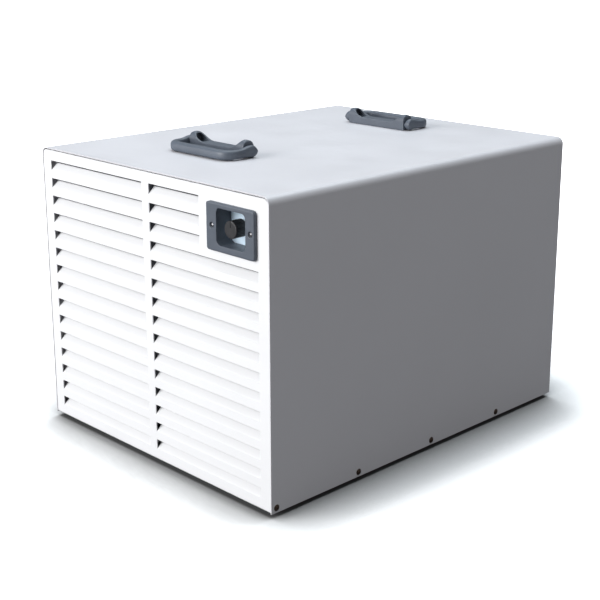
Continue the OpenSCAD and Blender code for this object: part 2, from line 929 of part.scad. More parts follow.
module compressor_grommets() {
  color([0.08, 0.08, 0.08]) case_frame() compressor_feet() difference() {
    union() {
      translate([0, 0, sheet]) cylinder(r = 12, h = comp_foot_z - sheet);
      translate([0, 0, comp_foot_z - eps]) cylinder(r = 8, h = comp_foot_t + 2 * eps);
      translate([0, 0, comp_foot_z + comp_foot_t]) cylinder(r = 11, h = 5);
    }
    cylinder(r = 3.1, h = 40);
  }
}

module compressor_bolts() {
  color([0.7, 0.7, 0.72]) case_frame() compressor_feet() {
    translate([0, 0, -0.9]) cylinder(r = 3, h = 31);
    translate([0, 0, comp_foot_z + comp_foot_t + 5]) cylinder(r = 9, h = 1.5);
    translate([0, 0, comp_foot_z + comp_foot_t + 6.5]) cylinder(r = 5.5, h = 5, $fn = 6);
  }
}

module terminal_cover() {
  color([0.12, 0.12, 0.13]) case_frame() translate([comp_x, comp_y, comp_base_z + comp_h])
    difference() {
      union() {
        cylinder(r = 17, h = 14);
        translate([0, 0, 14 - eps]) cylinder(r = 13, h = 3);
      }
      translate([0, 0, -1]) cylinder(r = 15, h = 13);
      translate([0, -loom_back, 0]) cylinder(r = 3.2, h = 30);
    }
}

module accumulator() {
  color([0.1, 0.1, 0.11]) case_frame() translate([acc_x, acc_y, acc_z]) {
    rotate_extrude() shell_profile(acc_r, acc_h, 14);
    translate([0, 0, acc_h - eps]) cylinder(r = 6.5, h = 8);
    translate([0, 0, -6]) cylinder(r = 6.5, h = 6 + eps);
  }
}

module filter_drier() {
  color([0.7, 0.43, 0.28]) case_frame() translate([drier_x, drier_y, drier_z]) {
    cylinder(r1 = 3.5, r2 = 14, h = 14);
    translate([0, 0, 14]) cylinder(r = 14, h = 52);
    translate([0, 0, 66]) cylinder(r1 = 14, r2 = 4, h = 14);
  }
}

module capillary_tube() {
  r = 1.2;
  low_z = drier_z - 20;
  coil_r = 22;
  end_y = evap_y + 3 * row_offset;
  color([0.75, 0.45, 0.3]) case_frame() {
    pipe([
      [drier_x, drier_y, drier_z], [drier_x, drier_y, low_z], [-187, drier_y, low_z],
      [-187, drier_y, over_coil_z - 3], [-187, end_y, over_coil_z - 3],
      [-187, end_y, coil_top_tube + tube_r]
    ], r, 4);
    for (i = [0 : 3]) {
      translate([60 + 4 * i, drier_y, low_z + coil_r + 3]) rotate([0, 90, 0]) rotate_extrude()
        translate([coil_r, 0]) circle(r = r, $fn = 24);
    }
  }
}

module suction_line() {
  color([0.72, 0.42, 0.27]) case_frame() {
    pipe([
      [-tube_half_x - braze_gap, evap_y + row_offset, coil_top_tube],
      [-side_run_x, evap_y + row_offset, coil_top_tube],
      [-side_run_x, evap_y + row_offset, over_coil_z],
      [-side_run_x, acc_y, over_coil_z],
      [acc_x, acc_y, over_coil_z],
      [acc_x, acc_y, acc_z + acc_h + 8]
    ], tube_r, 5.5);
    pipe([
      [acc_x, acc_y, acc_z - 6], [acc_x, acc_y, acc_z - 22],
      [comp_x + sqrt(pow(comp_r, 2) - pow(comp_y - acc_y - tube_r, 2)) + 0.2, acc_y, acc_z - 22]
    ], tube_r, 10);
  }
}

module discharge_line() {
  color([0.72, 0.42, 0.27]) case_frame() pipe([
    [comp_x, comp_y + 25, comp_base_z + comp_h], [comp_x, comp_y + 25, 300],
    [comp_x, 168, 300], [side_run_x - 4, 168, 300],
    [side_run_x - 4, 168, coil_top_tube], [side_run_x - 4, cond_y + 3 * row_offset, coil_top_tube],
    [tube_half_x + braze_gap, cond_y + 3 * row_offset, coil_top_tube]
  ], tube_r - 1.6, 7);
}

module liquid_line() {
  color([0.72, 0.42, 0.27]) case_frame() pipe([
    [tube_half_x + braze_gap, cond_y + row_offset, coil_top_tube],
    [side_run_x, cond_y + row_offset, coil_top_tube],
    [side_run_x, cond_y + row_offset, over_coil_z],
    [side_run_x, drier_y, over_coil_z],
    [drier_x, drier_y, over_coil_z],
    [drier_x, drier_y, drier_z + 80]
  ], 3, 6);
}

// ---- air mover ----

module fan_shroud() {
  color([0.78, 0.79, 0.8]) case_frame() {
    difference() {
      translate([-208, shroud_y, sheet + 0.4]) cube([416, 1.2, case_h - 6.6]);
      translate([0, 0, fan_z]) cyl_y(shroud_y - 1, 4, ring_r + 0.6);
      foot_places() translate([-8, -10, -1]) cube([16, 20, 9]);
      translate([drain_x, 0, drain_z]) cyl_y(shroud_y - 1, 4, 9);
      for (a = [45 : 90 : 315]) {
        translate([bracket_leg_r * cos(a), 0, fan_z + bracket_leg_r * sin(a)])
          cyl_y(shroud_y - 1, 4, 2.1);
      }
    }
    translate([0, 0, fan_z]) difference() {
      cyl_y(shroud_y - 28, 28 + 2.4, ring_r + 1.2);
      cyl_y(shroud_y - 29, 34, ring_r);
    }
  }
}

module fan_motor() {
  color([0.25, 0.26, 0.28]) case_frame() translate([0, 0, fan_z]) difference() {
    union() {
      cyl_y(motor_y, motor_len, motor_r);
      cyl_y(motor_y - 5, motor_len + 10, motor_r - 14);
      cyl_y(motor_y + motor_len, 3, 12);
      for (i = [0 : 11]) {
        rotate([0, i * 30, 0]) translate([motor_r - 1, motor_y + 32, -1.5]) cube([3, 18, 3]);
      }
    }
    cyl_y(motor_y + 10, motor_len + 10, spindle_r + fit_gap);
  }
}

module motor_bracket() {
  color([0.7, 0.71, 0.72]) case_frame() translate([0, 0, fan_z]) {
    difference() {
      cyl_y(bracket_y - 6, 12, motor_r + 2);
      cyl_y(bracket_y - 7, 14, motor_r);
    }
    for (a = [45 : 90 : 315]) {
      rotate([0, -a, 0]) difference() {
        union() {
          translate([motor_r + 1, bracket_y - 1, -7])
            cube([bracket_leg_x - motor_r + 1, 2, 14]);
          translate([bracket_leg_x, bracket_y - 1, -7]) cube([2, shroud_y - bracket_y + 1, 14]);
          translate([bracket_leg_x, shroud_y - 2, -7]) cube([16, 2, 14]);
        }
        translate([bracket_leg_r, 0, 0]) cyl_y(shroud_y - 3, 5, 2.1);
      }
    }
  }
}

module motor_screws() {
  color([0.75, 0.75, 0.77]) case_frame() for (a = [45 : 90 : 315]) {
    translate([bracket_leg_r * cos(a), shroud_y + 1.2, fan_z + bracket_leg_r * sin(a)])
      rotate([-90, 0, 0]) pan_screw(3.8, 2.2, 1.9, 8);
  }
}

module fan_shaft() {
  color([0.72, 0.72, 0.74]) case_frame() translate([0, 0, fan_z])
    cyl_y(motor_y + 12, fan_y + 14 - motor_y - 12, spindle_r);
}

module fan_blade() {
  hub_r = 34;
  hub_len = 26;
  tip_r = fan_d / 2;
  color([0.18, 0.19, 0.2]) case_frame() translate([0, fan_y, fan_z]) difference() {
    union() {
      cyl_y(-hub_len / 2, hub_len, hub_r);
      intersection() {
        cyl_y(-14, 28, tip_r);
        for (i = [0 : fan_blades - 1]) {
          rotate([0, i * 360 / fan_blades, 0])
            translate([hub_r - 4, 0, 0]) rotate([28, 0, 0]) linear_extrude(height = 2, center = true)
              blade_outline(tip_r - hub_r + 12);
        }
      }
    }
    cyl_y(-hub_len, 2 * hub_len, spindle_r);
    difference() {
      cyl_y(4, hub_len, hub_r - 3);
      cyl_y(3, hub_len, 9);
    }
  }
}

module blade_outline(reach) {
  difference() {
    polygon([[0, -16], [reach, -34], [reach, 30], [0, 16]]);
    translate([reach * 0.55, 66]) circle(r = 45);
  }
}

// ---- electrics and drain ----

module electrical_box() {
  t = 1.2;
  color([0.76, 0.77, 0.78]) case_frame()
    translate([ebox_x - ebox_w / 2, ebox_y - ebox_d / 2, sheet]) difference() {
      cube([ebox_w, ebox_d, ebox_h]);
      translate([t, t, t]) cube([ebox_w - 2 * t, ebox_d - 2 * t, ebox_h]);
      for (x = [30, 110]) {
        translate([x, 30, -1]) cylinder(r = 2.5, h = 4);
      }
    }
}

module electrical_lid() {
  color([0.78, 0.79, 0.8]) case_frame()
    translate([ebox_x - ebox_w / 2, ebox_y - ebox_d / 2, sheet + ebox_h]) difference() {
      cube([ebox_w, ebox_d, 1.2]);
      for (x = loom_x) {
        translate([x - ebox_x + ebox_w / 2, ebox_d / 2 - 5, -1]) cylinder(r = 3.6, h = 4);
      }
    }
}

module circuit_board() {
  color([0.1, 0.4, 0.2]) case_frame() translate([ebox_x - 60, ebox_y - 48, 10]) {
    cube([90, 1.6, 120]);
    translate([10, 1.6 - eps, 80]) cube([18, 16, 15]);
    translate([36, 1.6 - eps, 80]) cube([18, 16, 15]);
    translate([12, 1.6 - eps, 20]) cube([30, 25, 34]);
    for (i = [0 : 4]) {
      translate([58 + 6 * i, 1.6 - eps, 30]) cube([3.5, 9, 9]);
    }
    for (x = [6, 84], z = [6, 114]) {
      translate([x, -5.8, z]) rotate([-90, 0, 0]) cylinder(r = 3, h = 6);
    }
  }
}

module terminal_block() {
  color([0.9, 0.88, 0.8]) case_frame()
    translate([ebox_x - 60, ebox_y + 10, sheet + 1.2]) difference() {
      cube([70, 22, 18]);
      for (i = [0 : 6]) {
        translate([5 + 10 * i, 11, 8]) cylinder(r = 3.2, h = 20);
      }
    }
}

module run_capacitor() {
  color([0.8, 0.8, 0.81]) case_frame() translate([ebox_x + 42, ebox_y + 22, sheet + 1.2]) {
    cylinder(r = 22, h = 90);
    translate([0, 0, 90 - eps]) cylinder(r = 19, h = 2);
    for (x = [-8, 8]) {
      translate([x - 3, -0.4, 91.9]) cube([6, 0.8, 9]);
    }
  }
}

module wiring_loom() {
  lid_z = sheet + ebox_h - 12;
  y = ebox_y - loom_back;
  over_z = case_h - 7.5;
  color([0.08, 0.08, 0.08]) case_frame() {
    pipe([[loom_x[2], y, lid_z], [loom_x[2], y, over_z], [loom_x[2], 38, over_z],
      [loom_x[2], 38, control_z + humidistat_w / 2]], loom_r, 6);
    pipe([[loom_x[1], y, lid_z], [loom_x[1], y, fan_z], [loom_x[1], motor_y + 12, fan_z],
      [motor_r, motor_y + 12, fan_z]], loom_r, 6);
    pipe([[loom_x[0], y, lid_z], [loom_x[0], y, 262], [comp_x, y, 262],
      [comp_x, y, comp_foot_z + comp_h + 12]], loom_r, 6);
  }
}

module drain_hose() {
  color([0.2, 0.21, 0.22]) case_frame() translate([drain_x, 0, drain_z]) difference() {
    cyl_y(hose_start - 6, hose_end - hose_start + 6, 8);
    cyl_y(hose_start - 7, hose_end - hose_start + 8, 6.05);
  }
}

module drain_spigot() {
  face_y = case_d - panel_set_back;
  color([0.12, 0.12, 0.13]) case_frame() translate([drain_x, 0, drain_z]) difference() {
    union() {
      cyl_y(hose_end - 16, face_y - hose_end + 17, 6);
      cyl_y(face_y, 3, 13);
      cyl_y(face_y, case_d + rear_proud - face_y, 8);
    }
    cyl_y(hose_end - 20, 80, 4.6);
  }
}

module cable_gland() {
  face_y = case_d - panel_set_back;
  color([0.1, 0.1, 0.11]) case_frame() translate([gland_x, 0, gland_z]) difference() {
    union() {
      cyl_y(face_y - 9, 10, 8);
      translate([0, face_y, 0]) rotate([-90, 0, 0]) cylinder(r = 13, h = 5, $fn = 6);
      cyl_y(face_y + 5 - eps, 6, 10);
      cyl_y(face_y + 11 - 2 * eps, 5, 7.5);
      translate([0, face_y - sheet - 4.5, 0]) rotate([-90, 0, 0])
        cylinder(r = 12, h = 4.5, $fn = 6);
    }
    cyl_y(face_y - 20, 60, 4);
  }
}

base_pan();
outer_cover();
front_panel();
rear_panel();
finger_guard();
feet();
foot_screws();
cover_screws();
rear_screws();
control_bezel();
bezel_screws();
control_bracket();
humidistat();
humidistat_nut();
humidistat_shaft();
control_knob();
front_handle_base();
front_handle_bail();
front_handle_pins();
front_handle_screws();
rear_handle_base();
rear_handle_bail();
rear_handle_pins();
rear_handle_screws();
filter_frame();
filter_foam();
coil_frame();
evaporator_fins();
evaporator_tubes();
condenser_fins();
condenser_tubes();
drip_tray();
compressor_shell();
compressor_motor();
compressor_pump();
compressor_grommets();
compressor_bolts();
terminal_cover();
accumulator();
filter_drier();
capillary_tube();
suction_line();
discharge_line();
liquid_line();
fan_shroud();
fan_motor();
motor_bracket();
motor_screws();
fan_shaft();
fan_blade();
electrical_box();
electrical_lid();
circuit_board();
terminal_block();
run_capacitor();
wiring_loom();
drain_hose();
drain_spigot();
cable_gland();
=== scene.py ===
import bpy
import bmesh
import json
import math
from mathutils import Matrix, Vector


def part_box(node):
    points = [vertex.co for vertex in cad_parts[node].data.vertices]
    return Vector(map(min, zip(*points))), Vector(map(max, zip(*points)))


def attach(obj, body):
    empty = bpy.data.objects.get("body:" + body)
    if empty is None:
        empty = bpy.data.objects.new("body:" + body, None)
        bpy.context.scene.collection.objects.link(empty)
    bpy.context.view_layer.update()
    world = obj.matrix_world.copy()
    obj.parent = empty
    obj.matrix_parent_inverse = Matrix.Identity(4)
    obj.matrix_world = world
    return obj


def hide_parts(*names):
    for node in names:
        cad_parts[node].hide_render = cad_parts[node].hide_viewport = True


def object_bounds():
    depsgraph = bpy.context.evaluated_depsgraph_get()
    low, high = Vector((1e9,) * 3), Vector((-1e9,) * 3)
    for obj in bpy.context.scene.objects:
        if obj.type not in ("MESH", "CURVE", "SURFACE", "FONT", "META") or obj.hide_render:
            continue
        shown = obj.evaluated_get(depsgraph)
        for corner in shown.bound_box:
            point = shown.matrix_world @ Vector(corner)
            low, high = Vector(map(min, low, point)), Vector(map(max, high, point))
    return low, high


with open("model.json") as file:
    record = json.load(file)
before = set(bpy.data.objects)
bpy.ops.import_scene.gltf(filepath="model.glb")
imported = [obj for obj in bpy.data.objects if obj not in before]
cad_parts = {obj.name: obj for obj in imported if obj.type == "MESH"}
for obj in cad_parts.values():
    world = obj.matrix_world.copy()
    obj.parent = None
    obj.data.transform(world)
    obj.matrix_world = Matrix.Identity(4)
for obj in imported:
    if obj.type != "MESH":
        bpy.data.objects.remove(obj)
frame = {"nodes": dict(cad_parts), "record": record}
cad_low, cad_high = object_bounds()
record = frame["record"]
nodes = frame["nodes"]
MM = 0.001
NOISE_LOW, NOISE_HIGH = 0.3, 0.7      # the band of a noise that is stretched to the full range
GRIT_LOW, GRIT_HIGH = 0.35, 0.75
GRIT_SHARE = 0.8                      # of the colour variation
GRIT_LIGHTER = 1.18                   # how much paler the fine grain makes a colour
WEAR_LOW, WEAR_HIGH = 0.4, 0.65
WEAR_BREAKUP = 900.0
WEAR_RADIUS = 0.0006
WEAR_GAIN = 6.0
SMUDGE_RATIO = 3.1                    # smudges are finer than the colour clouds by this much
COAT_ROUGHNESS = 0.15


# ---------------------------------------------------------------- materials

def make_tree(name):
    mat = bpy.data.materials.new(name)
    mat.use_nodes = True
    tree = mat.node_tree
    tree.nodes.clear()
    out = tree.nodes.new("ShaderNodeOutputMaterial")
    bsdf = tree.nodes.new("ShaderNodeBsdfPrincipled")
    tree.links.new(bsdf.outputs[0], out.inputs[0])
    return mat, tree, bsdf


def noise(tree, coord, scale, detail=3.0, rough=0.5):
    n = tree.nodes.new("ShaderNodeTexNoise")
    n.inputs["Scale"].default_value = scale
    n.inputs["Detail"].default_value = detail
    n.inputs["Roughness"].default_value = rough
    tree.links.new(coord, n.inputs["Vector"])
    return n.outputs["Fac"]


def remap(tree, value, lo, hi, to_lo, to_hi):
    m = tree.nodes.new("ShaderNodeMapRange")
    m.inputs["From Min"].default_value = lo
    m.inputs["From Max"].default_value = hi
    m.inputs["To Min"].default_value = to_lo
    m.inputs["To Max"].default_value = to_hi
    tree.links.new(value, m.inputs["Value"])
    return m.outputs["Result"]


def mix_color(tree, fac, a, b, blend="MIX"):
    m = tree.nodes.new("ShaderNodeMix")
    m.data_type = "RGBA"
    m.blend_type = blend
    for socket, v in ((m.inputs[0], fac), (m.inputs[6], a), (m.inputs[7], b)):
        if hasattr(v, "is_linked") or hasattr(v, "links"):
            tree.links.new(v, socket)
        else:
            socket.default_value = v
    return m.outputs[2]


def shade(c, k):
    return (min(c[0] * k, 1), min(c[1] * k, 1), min(c[2] * k, 1), 1)


def edge_mask(tree, radius, gain):
    """Near 1 along worn edges, where a rounded normal leaves the true one, and 0 elsewhere."""
    bevel = tree.nodes.new("ShaderNodeBevel")
    bevel.samples = 4
    bevel.inputs["Radius"].default_value = radius
    geo = tree.nodes.new("ShaderNodeNewGeometry")
    dot = tree.nodes.new("ShaderNodeVectorMath")
    dot.operation = "DOT_PRODUCT"
    tree.links.new(bevel.outputs[0], dot.inputs[0])
    tree.links.new(geo.outputs["Normal"], dot.inputs[1])
    return remap(tree, dot.outputs["Value"], 1.0, 1.0 - 1.0 / gain, 0.0, 1.0)


def surface(name, color, rough, metallic=0.0, vary=0.05, vary_scale=12.0, rough_vary=0.06,
            grain=2500.0, bump=0.12, bump_mm=0.05, stretch=None, coat=0.0, wear=None, spec=0.5,
            sheen=0.0):
    mat, tree, bsdf = make_tree(name)
    coord = tree.nodes.new("ShaderNodeTexCoord").outputs["Object"]
    fine = coord
    if stretch:
        mapping = tree.nodes.new("ShaderNodeMapping")
        mapping.inputs["Scale"].default_value = stretch
        tree.links.new(coord, mapping.inputs["Vector"])
        fine = mapping.outputs["Vector"]
    cloud = noise(tree, coord, vary_scale, 4.0)
    col = mix_color(tree, remap(tree, cloud, NOISE_LOW, NOISE_HIGH, 0.0, 1.0),
                    shade(color, 1 - vary), shade(color, 1 + vary))
    grit = noise(tree, fine, grain, 2.0, 0.6)
    grain_amount = remap(tree, grit, GRIT_LOW, GRIT_HIGH, 0.0, vary * GRIT_SHARE)
    col = mix_color(tree, grain_amount, col, shade(color, GRIT_LIGHTER))
    if wear:
        worn, amount = wear
        mask = edge_mask(tree, WEAR_RADIUS, WEAR_GAIN)
        breakup = noise(tree, coord, WEAR_BREAKUP, 3.0)
        mul = tree.nodes.new("ShaderNodeMath")
        mul.operation = "MULTIPLY"
        tree.links.new(mask, mul.inputs[0])
        tree.links.new(remap(tree, breakup, WEAR_LOW, WEAR_HIGH, 0.0, amount), mul.inputs[1])
        col = mix_color(tree, mul.outputs[0], col, (*worn, 1))
    tree.links.new(col, bsdf.inputs["Base Color"])
    smudge = noise(tree, coord, vary_scale * SMUDGE_RATIO, 5.0)
    gloss = remap(tree, smudge, NOISE_LOW, NOISE_HIGH, rough - rough_vary, rough + rough_vary)
    tree.links.new(gloss, bsdf.inputs["Roughness"])
    bsdf.inputs["Metallic"].default_value = metallic
    bsdf.inputs["Specular IOR Level"].default_value = spec
    bsdf.inputs["Coat Weight"].default_value = coat
    bsdf.inputs["Coat Roughness"].default_value = COAT_ROUGHNESS
    bsdf.inputs["Sheen Weight"].default_value = sheen
    b = tree.nodes.new("ShaderNodeBump")
    b.inputs["Strength"].default_value = bump
    b.inputs["Distance"].default_value = bump_mm * MM
    tree.links.new(grit, b.inputs["Height"])
    tree.links.new(b.outputs[0], bsdf.inputs["Normal"])
    return mat


# Looks by material slot: grain and vary_scale are noise frequencies per metre, bump_mm is the relief
FINISHES = {
    "cover_paint": dict(color=(0.62, 0.61, 0.636), rough=0.37, vary=0.012, vary_scale=5,
        grain=1700, bump=0.25, bump_mm=0.035, wear=((0.45, 0.46, 0.47), 0.15)),
    "front_paint": dict(color=(0.74, 0.745, 0.76), rough=0.42, vary=0.012, vary_scale=5,
        grain=1700, bump=0.25, bump_mm=0.035, wear=((0.5, 0.5, 0.5), 0.12)),
    "slate_plastic": dict(color=(0.072, 0.086, 0.110), rough=0.46, vary=0.07, vary_scale=60,
        rough_vary=0.07, grain=5200, bump=0.35, bump_mm=0.06, wear=((0.16, 0.18, 0.21), 0.3)),
    "knob_plastic": dict(color=(0.018, 0.018, 0.02), rough=0.4, vary=0.1, vary_scale=90,
        grain=6000, bump=0.2, bump_mm=0.04, wear=((0.08, 0.08, 0.085), 0.4)),
    "dark_plastic": dict(color=(0.035, 0.036, 0.04), rough=0.5, vary=0.1, vary_scale=40,
        grain=4500, bump=0.3, bump_mm=0.05, wear=((0.1, 0.1, 0.1), 0.3)),
    "cream_plastic": dict(color=(0.62, 0.59, 0.5), rough=0.5, vary=0.05, vary_scale=50,
        grain=4500, bump=0.2, bump_mm=0.04, wear=((0.7, 0.68, 0.6), 0.3)),
    "galvanised": dict(color=(0.52, 0.54, 0.56), rough=0.42, metallic=0.85, vary=0.16,
        vary_scale=75, rough_vary=0.12, grain=900, bump=0.1, bump_mm=0.02,
        wear=((0.75, 0.76, 0.77), 0.4)),
    "bracket_steel": dict(color=(0.60, 0.74, 0.86), rough=0.42, metallic=0.1, vary=0.05,
        vary_scale=80, rough_vary=0.1, grain=900, bump=0.08, bump_mm=0.02),
    "guard_wire": dict(color=(0.03, 0.03, 0.033), rough=0.35, vary=0.08, vary_scale=60,
        grain=2500, bump=0.2, bump_mm=0.04, coat=0.2, wear=((0.3, 0.3, 0.3), 0.25)),
    "foot_rubber": dict(color=(0.02, 0.02, 0.021), rough=0.75, vary=0.15, vary_scale=80,
        grain=3000, bump=0.5, bump_mm=0.08, sheen=0.1),
    "hose_rubber": dict(color=(0.045, 0.046, 0.05), rough=0.6, vary=0.1, vary_scale=60,
        grain=2500, bump=0.3, bump_mm=0.05),
    "cable_sleeve": dict(color=(0.015, 0.015, 0.016), rough=0.55, vary=0.1, vary_scale=80,
        grain=2500, bump=0.3, bump_mm=0.05, stretch=(3, 1, 3)),
    "zinc_screw": dict(color=(0.58, 0.57, 0.52), rough=0.3, metallic=1.0, vary=0.1,
        vary_scale=200, grain=4000, bump=0.1, bump_mm=0.02, wear=((0.3, 0.3, 0.28), 0.3)),
    "bright_screw": dict(color=(0.17, 0.17, 0.18), rough=0.34, metallic=0.9, vary=0.05,
        vary_scale=200, grain=4000, bump=0.08, bump_mm=0.02, wear=((0.5, 0.5, 0.5), 0.3)),
    "dark_screw": dict(color=(0.05, 0.032, 0.024), rough=0.38, metallic=0.7, vary=0.2,
        vary_scale=300, grain=5000, bump=0.15, bump_mm=0.03, wear=((0.35, 0.22, 0.13), 0.5)),
    "shaft_steel": dict(color=(0.55, 0.55, 0.56), rough=0.25, metallic=1.0, vary=0.06,
        vary_scale=100, grain=1200, bump=0.2, bump_mm=0.02, stretch=(1, 14, 14)),
    "filter_foam": dict(color=(0.075, 0.078, 0.088), rough=0.95, vary=0.35, vary_scale=260,
        grain=1100, bump=1.0, bump_mm=0.9, spec=0.2),
    "fin_aluminium": dict(color=(0.7, 0.71, 0.72), rough=0.32, metallic=1.0, vary=0.06,
        vary_scale=60, grain=900, bump=0.15, bump_mm=0.03),
    "copper": dict(color=(0.72, 0.36, 0.22), rough=0.3, metallic=1.0, vary=0.16, vary_scale=45,
        rough_vary=0.12, grain=1500, bump=0.1, bump_mm=0.02, wear=((0.35, 0.16, 0.1), 0.3)),
    "black_enamel": dict(color=(0.012, 0.012, 0.014), rough=0.28, vary=0.15, vary_scale=30,
        grain=900, bump=0.2, bump_mm=0.04, coat=0.4),
    "motor_enamel": dict(color=(0.06, 0.066, 0.074), rough=0.42, vary=0.1, vary_scale=40,
        grain=1500, bump=0.25, bump_mm=0.05, wear=((0.3, 0.3, 0.3), 0.3)),
    "winding": dict(color=(0.42, 0.17, 0.07), rough=0.3, metallic=0.6, vary=0.2, vary_scale=60,
        grain=700, bump=0.8, bump_mm=0.3, stretch=(1, 1, 8)),
    "cast_iron": dict(color=(0.16, 0.16, 0.16), rough=0.6, metallic=0.8, vary=0.2,
        vary_scale=60, grain=1500, bump=0.5, bump_mm=0.15),
    "board": dict(color=(0.015, 0.11, 0.045), rough=0.35, vary=0.15, vary_scale=120, grain=1500,
        bump=0.2, bump_mm=0.05, coat=0.3),
    "capacitor_can": dict(color=(0.66, 0.66, 0.67), rough=0.3, metallic=1.0, vary=0.06,
        vary_scale=60, grain=900, bump=0.15, bump_mm=0.02, stretch=(1, 1, 12)),
}
MATERIALS = {name: surface(name, **look) for name, look in FINISHES.items()}


# ---------------------------------------------------------------- carried-over nodes

slot_of = {s["node"]: s["material_slot"] for s in record["subparts"]}

# Width in millimetres of the eased edges on the pieces that show them
EDGE_MM = {
    "outer_cover": 0.35, "front_panel": 0.3, "rear_panel": 0.3, "base_pan": 0.3,
    "control_knob": 0.3, "control_bracket": 0.3, "humidistat": 0.4,
    "feet": 0.5, "cover_screws": 0.15, "bezel_screws": 0.15,
    "rear_screws": 0.2, "front_handle_screws": 0.2, "rear_handle_screws": 0.2,
    "drain_spigot": 0.4, "cable_gland": 0.4, "fan_blade": 0.5, "drip_tray": 0.5,
    "electrical_box": 0.3, "electrical_lid": 0.3, "terminal_block": 0.4,
}

# Moulded parts: voxel size in millimetres, and how many passes soften the shape
MOULDED = {
    "front_handle_base": (0.55, 9), "rear_handle_base": (0.55, 9),
    "control_bezel": (0.5, 6),
}
SMOOTH_FACTOR = 0.5
EDGE_SEGMENTS = 2
EDGE_SHARPER_THAN = math.radians(35)


def mould(obj, voxel_mm, passes):
    remesh = obj.modifiers.new("mould", "REMESH")
    remesh.mode = "VOXEL"
    remesh.voxel_size = voxel_mm * MM
    remesh.use_smooth_shade = True
    soft = obj.modifiers.new("soften", "SMOOTH")
    soft.factor = SMOOTH_FACTOR
    soft.iterations = passes


def ease_edges(obj, width_mm):
    bevel = obj.modifiers.new("edges", "BEVEL")
    bevel.width = width_mm * MM
    bevel.segments = EDGE_SEGMENTS
    bevel.limit_method = "ANGLE"
    bevel.angle_limit = EDGE_SHARPER_THAN
    bevel.use_clamp_overlap = True


def dress(name, obj):
    obj.data.materials.clear()
    obj.data.materials.append(MATERIALS[slot_of[name]])
    if name in MOULDED:
        mould(obj, *MOULDED[name])
    elif name in EDGE_MM:
        ease_edges(obj, EDGE_MM[name])


for name, obj in nodes.items():
    dress(name, obj)


# ---------------------------------------------------------------- folding bails

# Plan of a bail seen from above, in millimetres: x to the side, t from the pivot towards the grip.
# The arms are solid at the pivot, so the ends of the pins lie inside them.
BAIL_OUTER = {"arm_x": 60.0, "reach": 42.0, "corner": 20.0}
BAIL_INNER = {"arm_x": 51.4, "reach": 29.5, "corner": 11.0}
BAIL_EYE_R = 7.5          # rounded end of an arm, round the pivot
BAIL_EYE_END = -7.4       # the arm is closed here, just short of the full round
BAIL_GRIP_TOP = 4.5       # heights are above the pivot
BAIL_GRIP_T = 20.0        # where the arm has come down to the grip's height
BAIL_BELLY = -6.4         # underside where it passes over the base
BAIL_BELLY_T = (4.0, 27.0)
BAIL_BLEND = 4.0
BAIL_ROUND = 2.9          # superellipse power of the cross-section
RING = 32                 # points round the cross-section
EYE_STEPS, ARM_STEPS, CORNER_STEPS, GRIP_STEPS = 9, 12, 18, 12


def smooth(a, b, v):
    """0 before a, 1 after b, and an eased step between them."""
    k = min(max((v - a) / (b - a), 0.0), 1.0)
    return k * k * (3 - 2 * k)


def bail_half_plan():
    """Pairs of inner and outer plan points from the end of the right arm to the middle of the grip."""
    pairs = []
    o, i = BAIL_OUTER, BAIL_INNER
    o_t, i_t = o["reach"] - o["corner"], i["reach"] - i["corner"]
    for k in range(EYE_STEPS):
        t = BAIL_EYE_END * math.cos(math.pi / 2 * k / EYE_STEPS)
        pairs.append(((i["arm_x"], t), (o["arm_x"], t)))
    for k in range(ARM_STEPS):
        along = k / ARM_STEPS
        pairs.append(((i["arm_x"], i_t * along), (o["arm_x"], o_t * along)))
    for k in range(CORNER_STEPS + 1):
        a = math.pi / 2 * k / CORNER_STEPS
        pairs.append((
            (i["arm_x"] - i["corner"] * (1 - math.cos(a)), i_t + i["corner"] * math.sin(a)),
            (o["arm_x"] - o["corner"] * (1 - math.cos(a)), o_t + o["corner"] * math.sin(a))))
    i_x, o_x = i["arm_x"] - i["corner"], o["arm_x"] - o["corner"]
    for k in range(1, GRIP_STEPS + 1):
        left = 1 - k / GRIP_STEPS
        pairs.append(((i_x * left, i["reach"]), (o_x * left, o["reach"])))
    return pairs


def bail_heights(t):
    """Underside and top of the bail, above the pivot, at the distance t from it."""
    if t < 0:
        half = math.sqrt(BAIL_EYE_R ** 2 - t ** 2)
        return -half, half
    top = BAIL_EYE_R + (BAIL_GRIP_TOP - BAIL_EYE_R) * smooth(0, BAIL_GRIP_T, t)
    start, end = BAIL_BELLY_T
    over_base = smooth(start - BAIL_BLEND, start, t) * (1 - smooth(end, end + BAIL_BLEND, t))
    return -BAIL_EYE_R + (BAIL_BELLY + BAIL_EYE_R) * over_base, top


def bail_ring(bm, inner, outer, side, toward):
    (x_in, t_in), (x_out, t_out) = inner, outer
    ring = []
    for k in range(RING):
        a = 2 * math.pi * k / RING
        c, s = math.cos(a), math.sin(a)
        across = math.copysign(abs(c) ** (2 / BAIL_ROUND), c)
        up = math.copysign(abs(s) ** (2 / BAIL_ROUND), s)
        x = (x_in + x_out) / 2 + across * (x_out - x_in) / 2
        t = (t_in + t_out) / 2 + across * (t_out - t_in) / 2
        bottom, top = bail_heights(t)
        z = (bottom + top) / 2 + up * (top - bottom) / 2
        ring.append(bm.verts.new((side * x * MM, toward * t * MM, z * MM)))
    return ring


joint_place = {j["name"]: j["pos_m"] for j in record["behaviour"]["joints"]}


